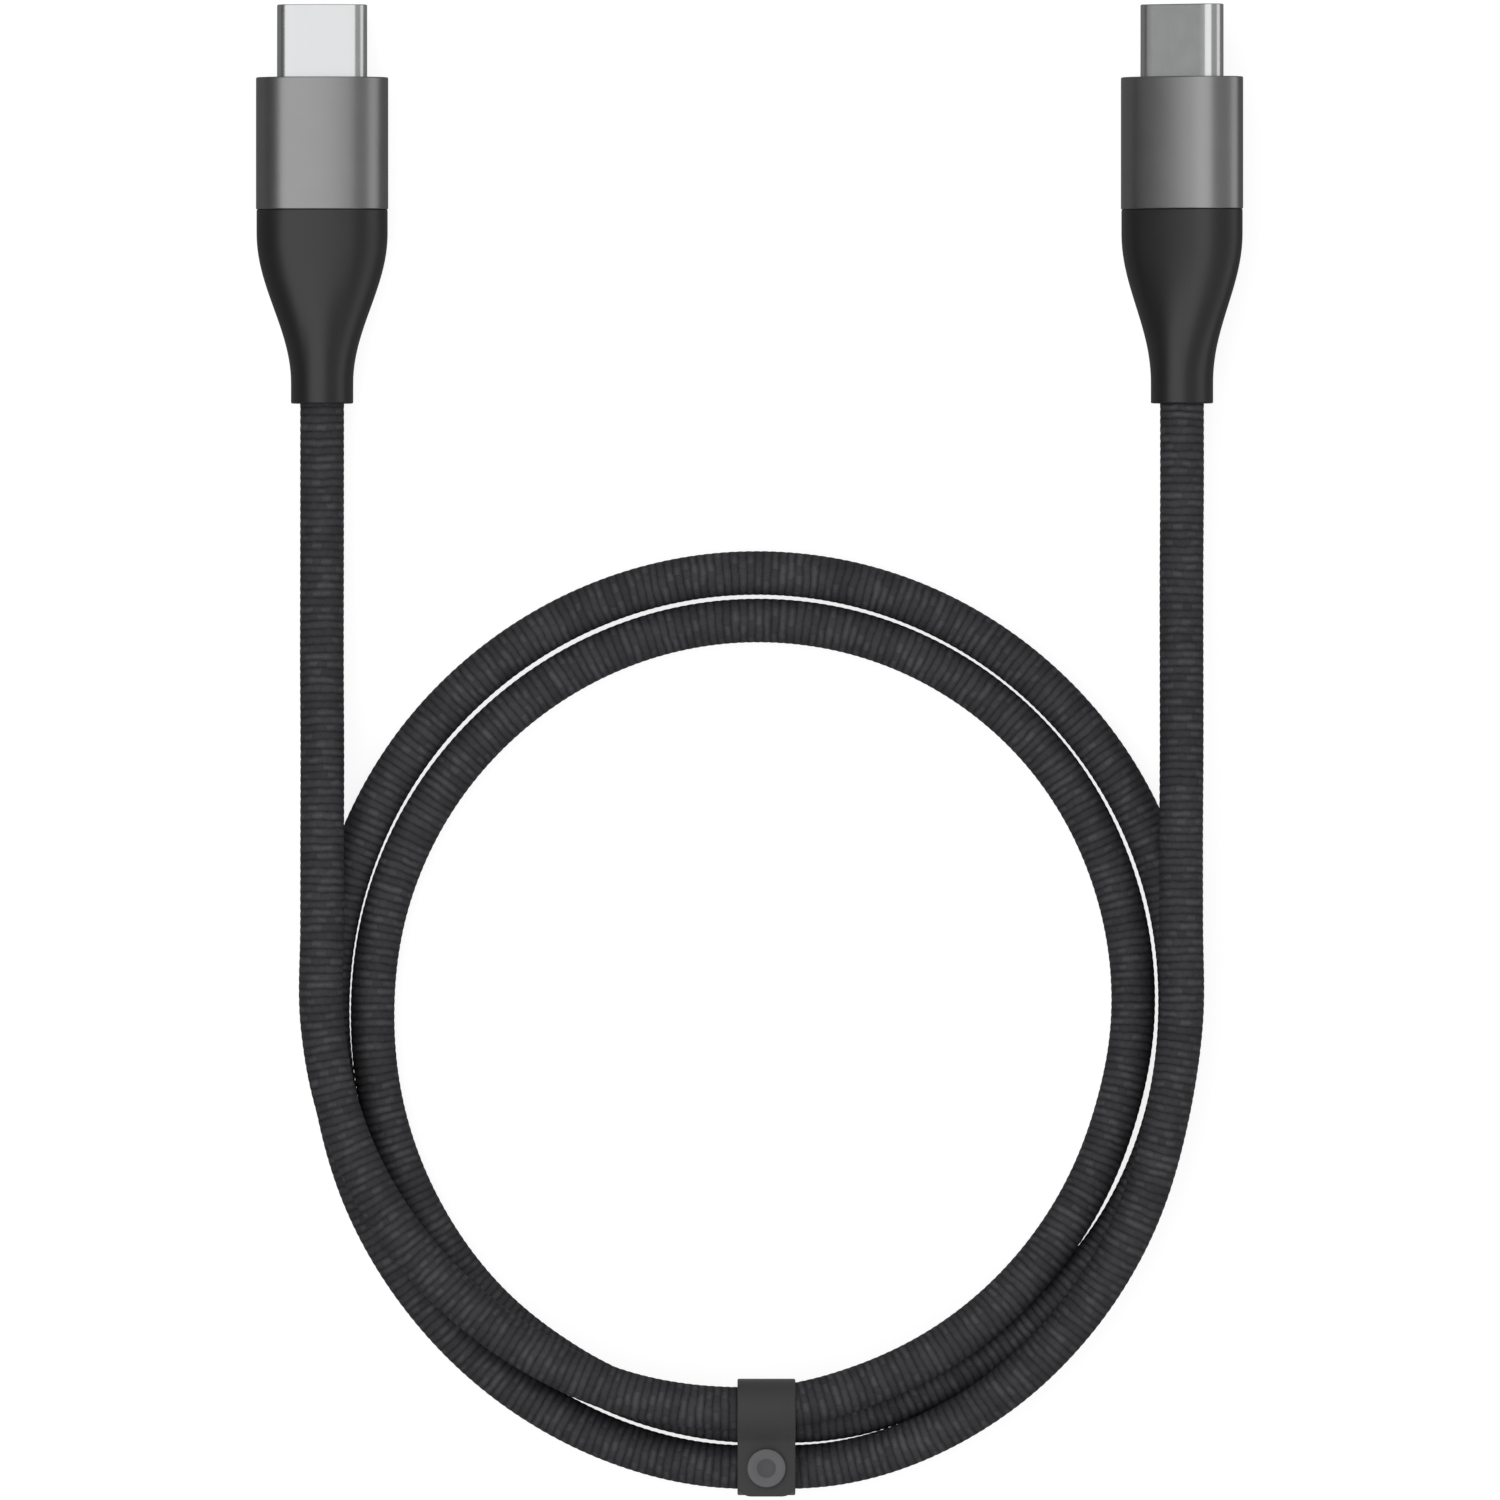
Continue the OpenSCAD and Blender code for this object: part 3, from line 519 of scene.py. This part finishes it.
def strap_flap_mesh(strap):
    """The part of the strap that folds over the coil and presses shut, with rounded corners."""
    strip = Strip(STRAP_X, size_of("strap_band").x, strap, (-57.8, 6.5), 90)
    strip.bend(2.35 * MM, 150)  # from the hinge over the coil
    strip.run(0.548 * MM)
    strip.bend(1.3 * MM, -60)
    strip.run(3.415 * MM)  # flat on the band
    strip.round_end(1.2 * MM)
    return strip.finished()


def snap_cap_mesh(strap):
    """Round cap of the press stud, with a shallow dish, on a pin through the flap."""
    low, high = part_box("snap_cap")
    middle = (low + high) / 2
    rim, under, bottom = (high.x - low.x) / 2, high.z - CAP_THICKNESS, high.z - DISH_DEPTH
    return turned(
        middle,
        [(0, low.z), (PIN_RADIUS, low.z), (PIN_RADIUS, under), (rim, under), (rim, high.z),
         (DISH_RADIUS, high.z), (DISH_FLOOR * DISH_RADIUS, bottom), (0, bottom)],
        CAP_EDGE * strap.edge)


# ---- finishes ----


class Signal:
    """What a shader node gives out. Sums, products and powers of it add Math nodes."""

    def __init__(self, finish, socket):
        self.finish, self.socket = finish, socket

    def maths(self, operation, *values):
        return self.finish.node(
            "ShaderNodeMath", {"operation": operation}, dict(enumerate(values)))

    def __add__(self, other):
        return self.maths("ADD", self, other)

    def __sub__(self, other):
        return self.maths("SUBTRACT", self, other)

    def __rsub__(self, other):
        return self.maths("SUBTRACT", other, self)

    def __mul__(self, other):
        return self.maths("MULTIPLY", self, other)

    def __pow__(self, other):
        return self.maths("POWER", self, other)

    def __mod__(self, other):
        return self.maths("FLOORED_MODULO", self, other)

    def __gt__(self, other):
        return self.maths("GREATER_THAN", self, other)

    def __abs__(self):
        return self.maths("ABSOLUTE", self)

    def floor(self):
        return self.maths("FLOOR", self)

    def sine(self):
        return self.maths("SINE", self)

    __radd__ = __add__
    __rmul__ = __mul__


class Finish:
    """A material in the making: its nodes and its surface shader."""

    def __init__(self, name, colour, roughness, metallic=0.0, **others):
        self.material = bpy.data.materials.new(name)
        self.material.use_nodes = True
        self.tree = self.material.node_tree
        self.shader = self.tree.nodes["Principled BSDF"]
        self.colour = tuple(colour)
        constants = {
            "Base Color": (*self.colour, 1), "Roughness": roughness, "Metallic": metallic}
        constants.update({key.replace("_", " "): value for key, value in others.items()})
        for key, value in constants.items():
            self.shader.inputs[key].default_value = value

    def node(self, kind, settings=None, inputs=None, output=0):
        """Adds a node: its settings come first, then the numbers or links of its inputs."""
        node = self.tree.nodes.new(kind)
        for key, value in (settings or {}).items():
            setattr(node, key, value)
        for key, value in (inputs or {}).items():
            self.give(node.inputs[key], value)
        return Signal(self, node.outputs[output])

    def give(self, socket, value):
        """Links a signal to a socket, or sets a constant on it."""
        if isinstance(value, Signal):
            self.tree.links.new(value.socket, socket)
        else:
            socket.default_value = value

    def noise(self, size, detail=2.0, stretch=(1, 1, 1)):
        """Soft noise with patches of that size in metres, drawn out along an axis by a stretch."""
        place = self.node("ShaderNodeTexCoord", output="Object")
        place = self.node(
            "ShaderNodeMapping", None,
            {"Vector": place, "Scale": tuple(1 / factor for factor in stretch)})
        return self.node(
            "ShaderNodeTexNoise", None, {"Vector": place, "Scale": 1 / size, "Detail": detail})

    def shade(self, share, dark, light):
        """The finish's own colour, from a darker to a lighter factor of it by a share."""
        dark, light = [(*(min(c * f, 1) for c in self.colour), 1) for f in (dark, light)]
        mix = self.node(
            "ShaderNodeMix", {"data_type": "RGBA"}, {0: share, 6: dark, 7: light}, output=2)
        self.give(self.shader.inputs["Base Color"], mix)

    def roughen(self, roughness):
        """Lets the roughness vary over the surface."""
        self.give(self.shader.inputs["Roughness"], roughness)

    def bump(self, height, depth):
        """Raises the surface by a height from 0 to 1 times a depth in metres."""
        bump = self.node(
            "ShaderNodeBump", None, {"Height": height, "Distance": depth, "Strength": 1})
        self.give(self.shader.inputs["Normal"], bump)


FILAMENTS = 6  # fine lines across one crossing
FILAMENT_LEAN = 1.5  # how many of them a line shifts by over one rib
PAINTED_GLINT_ABOVE = 0.7  # crossings whose random value is above this get a painted highlight along the rib's crest
WEAVE_DEPTH = 0.07 * MM


def woven_cord_finish(cord, ribs):
    """Braided yarn: ribs round the cord, cut into crossings that differ a little in tone, with
    painted shade in the valleys between ribs and at the crossings' sides, and painted glints on the
    crests of some crossings.
    """
    finish = Finish("woven_cord", cord.colour, 0.62, Specular_IOR_Level=0.3)
    weave = finish.node("ShaderNodeUVMap", {"uv_map": "weave"})
    place = finish.node("ShaderNodeSeparateXYZ", None, {0: weave})
    turn = Signal(finish, place.socket.node.outputs["Y"])
    wobble = finish.noise(1.1 * MM) - 0.5
    rib = place * ribs + wobble * 0.35 + finish.noise(3.5 * MM, 1) * 0.5
    row = rib.floor()
    cell = turn * cord.cells + (row % 2) * 0.5 + wobble * 0.7
    crown = abs((rib * pi).sine()) ** 0.55
    side = abs((cell * pi).sine()) ** 0.5
    address = finish.node("ShaderNodeCombineXYZ", None, {0: row, 1: cell.floor() % cord.cells})
    yarn = finish.node("ShaderNodeTexWhiteNoise", {"noise_dimensions": "2D"}, {"Vector": address})
    band = finish.node("ShaderNodeTexWhiteNoise", {"noise_dimensions": "1D"}, {"W": row})
    patch = finish.noise(2.2 * MM)
    fibre = finish.noise(0.12 * MM, 3)
    slant = (row % 2) * 2 - 1
    filament = abs(((cell * FILAMENTS + rib * slant * FILAMENT_LEAN) * pi).sine())
    closed = finish.noise(0.9 * MM)
    # Painted shade: the colour darkens in the valleys between ribs, less where the noise closes
    # them; the bump below uses the same shape as its height.
    gap = 1 - (1 - crown) * (0.35 + closed * 1.1)
    # Painted highlight: thin bright glints along the crests of the crossings picked out at random.
    painted_glint = (yarn > PAINTED_GLINT_ABOVE) * crown ** 8 * 0.22
    # The colour's share: painted shade in the valleys and at each crossing's sides, random tone of
    # yarns, rows and patches, painted glints, and the filaments' lines.
    light = gap * (0.36 + yarn * 0.08 + band * 0.18 + painted_glint) * (0.85 + side * 0.15)
    light = light * (0.7 + patch * 0.6) * (0.72 + filament * 0.44)
    finish.shade(light + (fibre - 0.5) * 0.25, 0.1, 1.9)
    finish.roughen(0.72 - yarn * 0.2)
    finish.bump(gap * (0.55 + side * 0.25) + filament * 0.22 + fibre * 0.15, WEAVE_DEPTH)
    return finish.material


def shell_finish(colour):
    """Nickel-plated steel, polished, with faint lines along the drawn tube."""
    finish = Finish("plug_steel", colour, 0.2, 1.0)
    lines = finish.noise(0.12 * MM, 3, (1, 40, 1))
    haze = finish.noise(1.6 * MM)
    finish.shade(lines * 0.4 + haze * 0.6, 0.94, 1.05)
    finish.roughen(0.15 + lines * 0.05 + haze * 0.08)
    finish.bump(lines, 0.0012 * MM)
    return finish.material


def sleeve_finish(colour):
    """Aluminium, bead-blasted and anodised dark grey."""
    finish = Finish("sleeve_aluminium", colour, 0.3, 1.0)
    grain = finish.noise(0.06 * MM)
    haze = finish.noise(2.5 * MM)
    finish.shade(grain * 0.6 + haze * 0.4, 0.9, 1.12)
    finish.roughen(0.26 + grain * 0.06 + haze * 0.05)
    finish.bump(grain, 0.003 * MM)
    return finish.material


def relief_finish(colour):
    """Soft black moulding with a fine matt grain."""
    finish = Finish("relief_rubber", colour, 0.42, Specular_IOR_Level=0.58)
    grain = finish.noise(0.09 * MM, 3)
    haze = finish.noise(3 * MM)
    finish.shade(grain * 0.5 + haze * 0.5, 0.35, 0.7)
    finish.roughen(0.3 + grain * 0.08 + haze * 0.06)
    finish.bump(grain, 0.004 * MM)
    return finish.material


def silicone_finish(name, colour):
    """Dark silicone with a velvety, slightly cloudy surface."""
    finish = Finish(name, colour, 0.6, Specular_IOR_Level=0.35, Sheen_Weight=0.15)
    grain = finish.noise(0.07 * MM, 3)
    haze = finish.noise(1.8 * MM, 3)
    finish.shade(grain * 0.4 + haze * 0.6, 0.85, 1.18)
    finish.roughen(0.54 + grain * 0.1 + haze * 0.06)
    finish.bump(grain, 0.004 * MM)
    return finish.material


def cap_finish(colour):
    """Satin plastic, darker and duller in the dish."""
    finish = Finish("snap_cap_plastic", colour, 0.5, Specular_IOR_Level=0.4)
    low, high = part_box("snap_cap")
    place = finish.node("ShaderNodeTexCoord", output="Object")
    place = finish.node(
        "ShaderNodeVectorMath", {"operation": "SUBTRACT"}, {0: place, 1: (low + high) / 2})
    flat = finish.node(
        "ShaderNodeVectorMath", {"operation": "MULTIPLY"}, {0: place, 1: (1, 1, 0)})
    reach = finish.node("ShaderNodeVectorMath", {"operation": "LENGTH"}, {0: flat}, output="Value")
    rim = reach > DISH_RADIUS
    grain = finish.noise(0.08 * MM, 3)
    finish.shade(rim * 0.75 + grain * 0.25, 0.62, 1.1)
    finish.roughen(0.55 - rim * 0.12 + grain * 0.08)
    finish.bump(grain, 0.004 * MM)
    return finish.material


HAZE_SIZE = 8  # an inner piece's cloudy patches are this many grains across
# Finishes of the inner pieces by slot: roughness, metallic, grain size and depth in millimetres
INNER_FINISHES = {
    "snap_plastic": (0.4, 0, 0.2, 0.003), "black_resin": (0.4, 0, 0.15, 0.004),
    "dark_resin": (0.45, 0, 0.15, 0.004), "gold_contact": (0.22, 1, 0.3, 0.001),
    "spring_steel": (0.28, 1, 0.2, 0.001), "board_laminate": (0.45, 0, 0.25, 0.004),
    "ceramic": (0.5, 0, 0.1, 0.004), "tinned_steel": (0.35, 1, 0.4, 0.002),
    "crimp_brass": (0.3, 1, 0.3, 0.001), "cream_mold": (0.5, 0, 0.3, 0.004),
    "inner_jacket": (0.5, 0, 0.3, 0.004), "tinned_braid": (0.4, 1, 0.12, 0.02),
    "red_wire": (0.38, 0, 0.25, 0.002), "black_wire": (0.38, 0, 0.25, 0.002),
    "blue_wire": (0.38, 0, 0.25, 0.002), "green_wire": (0.38, 0, 0.25, 0.002),
    "white_wire": (0.38, 0, 0.25, 0.002),
}


def inner_finish(slot):
    """Moulded, plated or coated surface of an inner piece, with its grain and slight cloudiness."""
    roughness, metallic, size, depth = INNER_FINISHES[slot]
    finish = Finish(slot, SLOT_COLOURS[slot], roughness, metallic)
    grain = finish.noise(size * MM, 3)
    haze = finish.noise(HAZE_SIZE * size * MM)
    finish.shade(grain * 0.4 + haze * 0.6, 0.86, 1.14)
    finish.roughen(roughness - 0.06 + grain * 0.12)
    finish.bump(grain, depth * MM)
    return finish.material


# ---- stage ----

# Softboxes: name, place, aim, size across and along in metres, and how bright
SOFTBOXES = [
    ("overhead", (-0.475, 0, 1), (-0.475, 0, 0), (1.25, 2.4), 1.2),
    ("left_high", (-1.4, 0, 1), (-1.4, 0, 0), (0.6, 2.4), 0.25),
    ("right_high", (0.84, 0, 1), (0.84, 0, 0), (1.38, 2.4), 0.3),
    ("right_low", (1.6, 0, 0.5), (0, 0, 0.5), (2.4, 1.0), 0.9),
    ("front", (0, -2, 0.8), (0, 0, 0.2), (2.4, 1.4), 0.5),
    ("back", (0, 2, 0.8), (0, 0, 0.2), (2.4, 1.4), 0.5),
]
ROOM_LIGHT = 0.15
FLOOR_GLOW = 0.85  # how bright the floor is for the camera alone, so it doesn't light the cable
FLOOR_HALF = 1.5
SENSOR_WIDTH = 36
VIEW_HEIGHT = 3 * MM  # height over the floor at which the camera takes in the view width


# ---- operators ----


class MakeStage(Operator):
    """Set up the camera, the softboxes and the pale floor"""

    bl_idname = "cable.make_stage"
    bl_label = "Stage"

    def execute(self, context):
        stage = context.scene.cable_stage
        scene = context.scene
        scene.view_settings.view_transform = "Standard"
        scene.world = bpy.data.worlds.new("studio")
        scene.world.use_nodes = True
        background = scene.world.node_tree.nodes["Background"]
        background.inputs["Color"].default_value = (1, 1, 1, 1)
        background.inputs["Strength"].default_value = ROOM_LIGHT
        lens = bpy.data.cameras.new("camera")
        lens.lens, lens.sensor_width = stage.lens, SENSOR_WIDTH
        lens.clip_start, lens.clip_end = 0.01, 20
        camera = bpy.data.objects.new("camera", lens)
        camera.location = (0, 0, stage.view_width * stage.lens / SENSOR_WIDTH + VIEW_HEIGHT)
        scene.collection.objects.link(camera)
        scene.camera = camera
        for name, place, aim, size, radiance in SOFTBOXES:
            self.softbox(scene, name, Vector(place), Vector(aim), size, radiance)
        self.floor(scene, stage)
        return {"FINISHED"}

    def softbox(self, scene, name, place, aim, size, radiance):
        """An even rectangular light that the camera doesn't see."""
        light = bpy.data.lights.new(name, "AREA")
        light.shape = "RECTANGLE"
        light.size, light.size_y = size
        light.energy = radiance * pi * size[0] * size[1]
        softbox = bpy.data.objects.new(name, light)
        softbox.location = place
        softbox.rotation_euler = (aim - place).to_track_quat("-Z", "Y").to_euler()
        softbox.visible_camera = False
        scene.collection.objects.link(softbox)

    def floor(self, scene, stage):
        """A table top under the cable, which looks white to the camera."""
        bm = bmesh.new()
        bmesh.ops.create_grid(bm, x_segments=1, y_segments=1, size=FLOOR_HALF)
        finish = Finish("floor", stage.floor_colour, 0.9, Specular_IOR_Level=0.0)
        seen = finish.node("ShaderNodeLightPath")
        glow = finish.node(
            "ShaderNodeMix", {"data_type": "RGBA"}, {0: seen, 6: (0, 0, 0, 1), 7: (1, 1, 1, 1)},
            output=2)
        finish.give(finish.shader.inputs["Emission Color"], glow)
        finish.give(finish.shader.inputs["Emission Strength"], FLOOR_GLOW)
        mesh = bpy.data.meshes.new("floor")
        bm.to_mesh(mesh)
        bm.free()
        mesh.materials.append(finish.material)
        floor = bpy.data.objects.new("floor", mesh)
        scene.collection.objects.link(floor)


class MakePlugs(Operator):
    """Build the steel shells, aluminium sleeves and strain reliefs of both plugs"""

    bl_idname = "cable.make_plugs"
    bl_label = "Plugs"

    def execute(self, context):
        plug = context.scene.cable_plug
        kinds = [
            ("shell", "steel_shell", shell_mesh, "plug_steel", shell_finish(plug.shell_colour)),
            ("sleeve", "metal_sleeve", sleeve_mesh, "sleeve_aluminium",
             sleeve_finish(plug.sleeve_colour)),
            ("strain_relief", "soft_strain_relief", strain_relief_mesh, "relief_rubber",
             relief_finish(plug.relief_colour))]
        for letter in "ab":
            for node, name, mesh, slot, finish in kinds:
                bm = mesh(plug)
                bmesh.ops.transform(bm, matrix=plug_place(letter), verts=bm.verts)
                piece = new_piece(f"plug_{letter}_{name}", bm, finish)
                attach(piece, "cable")
                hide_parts(f"plug_{letter}_{node}")
        return {"FINISHED"}


class MakeCord(Operator):
    """Weave the cord from plug to plug through the coil"""

    bl_idname = "cable.make_cord"
    bl_label = "Cord"

    def execute(self, context):
        cord = context.scene.cable_cord
        line = cord_line(cord)
        ribs = (len(line) - 1) // RINGS_PER_RIB
        finish = woven_cord_finish(cord, ribs)
        piece = new_piece("woven_cord", cord_mesh(cord, line), finish)
        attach(piece, "cable")
        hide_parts("cable_lead_a", "cable_coil", "cable_lead_b")
        return {"FINISHED"}


class MakeStrap(Operator):
    """Fold the strap round the coil and over itself, with the cap of its press stud"""

    bl_idname = "cable.make_strap"
    bl_label = "Strap"

    def execute(self, context):
        strap = context.scene.cable_strap
        silicone = silicone_finish("strap_silicone", strap.colour)
        plastic = cap_finish(strap.cap_colour)
        for name, bm, finish, slot, node, body in [
            ("silicone_band", strap_band_mesh(strap), silicone, "strap_silicone", "strap_band",
             "cable"),
            ("silicone_flap", strap_flap_mesh(strap), silicone, "strap_silicone", "strap_flap",
             "strap_flap"),
            ("dished_cap", snap_cap_mesh(strap), plastic, "snap_cap_plastic", "snap_cap",
             "strap_flap"),
        ]:
            piece = new_piece(name, bm, finish)
            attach(piece, body)
            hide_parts(node)
        return {"FINISHED"}


class FinishInnerPieces(Operator):
    """Give the pieces inside the plugs and the press stud their metal, resin and wire finishes"""

    bl_idname = "cable.finish_inner_pieces"
    bl_label = "Inner pieces"

    def execute(self, context):
        finishes = {slot: inner_finish(slot) for slot in INNER_FINISHES}
        for name, node in frame["nodes"].items():
            if not node.hide_render:
                for slot in node.material_slots:
                    slot.material = finishes[SLOT_OF_NODE[name]]
        return {"FINISHED"}


class CablePanel(Panel):
    """Lists the sizes and colours, and the steps that build the cable"""

    bl_idname = "VIEW3D_PT_cable"
    bl_label = "Charging cable"
    bl_space_type = "VIEW_3D"
    bl_region_type = "UI"
    bl_category = "Cable"

    def draw(self, context):
        for name, kind in SETTINGS.items():
            box = self.layout.box()
            for prop in kind.__annotations__:
                box.prop(getattr(context.scene, name), prop)
        for operator in OPERATORS:
            self.layout.operator(operator.bl_idname)


SETTINGS = {
    "cable_stage": StageSettings, "cable_plug": PlugSettings, "cable_cord": CordSettings,
    "cable_strap": StrapSettings}
OPERATORS = [MakeStage, MakePlugs, MakeCord, MakeStrap, FinishInnerPieces]


def register():
    for kind in [*SETTINGS.values(), *OPERATORS, CablePanel]:
        bpy.utils.register_class(kind)
    for name, kind in SETTINGS.items():
        setattr(bpy.types.Scene, name, PointerProperty(type=kind))


def unregister():
    for name in SETTINGS:
        delattr(bpy.types.Scene, name)
    for kind in [CablePanel, *reversed(OPERATORS), *reversed(SETTINGS.values())]:
        bpy.utils.unregister_class(kind)


def main():
    register()
    bpy.ops.cable.make_stage()
    bpy.ops.cable.make_plugs()
    bpy.ops.cable.make_cord()
    bpy.ops.cable.make_strap()
    bpy.ops.cable.finish_inner_pieces()


if __name__ == "__main__":
    main()
